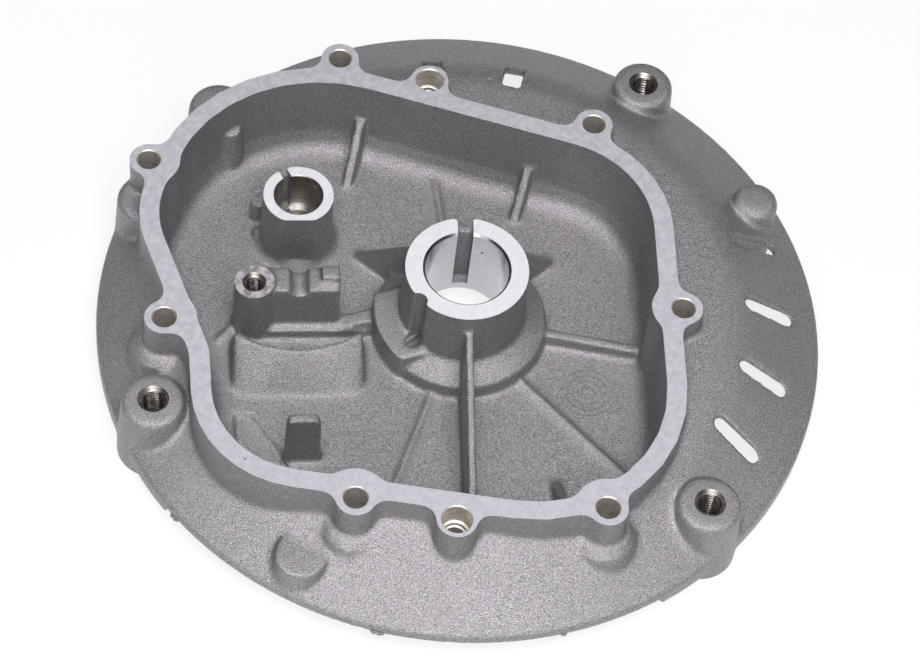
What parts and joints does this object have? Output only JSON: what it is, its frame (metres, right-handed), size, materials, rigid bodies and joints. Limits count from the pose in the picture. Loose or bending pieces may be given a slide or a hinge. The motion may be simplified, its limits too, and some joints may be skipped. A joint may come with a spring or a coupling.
{
  "type": "lower crankcase",
  "caption": "One-piece aluminium engine base: an oil sump with a bolted sealing flange, a bearing hub and a camshaft boss, in a round dished mounting plate.",
  "frame": {"origin": "crankshaft axis in the plane of the mounting faces", "axes": "+Z along the crankshaft axis, up out of the open sump; -Y towards the front of the picture's view"},
  "size_m": [0.2228, 0.2228, 0.036],
  "materials": {
    "cast_aluminium": "blasted casting, milled flange and hub faces"
  },
  "bodies": {
    "root": {"lower_crankcase": "cast_aluminium"}
  },
  "joints": []
}
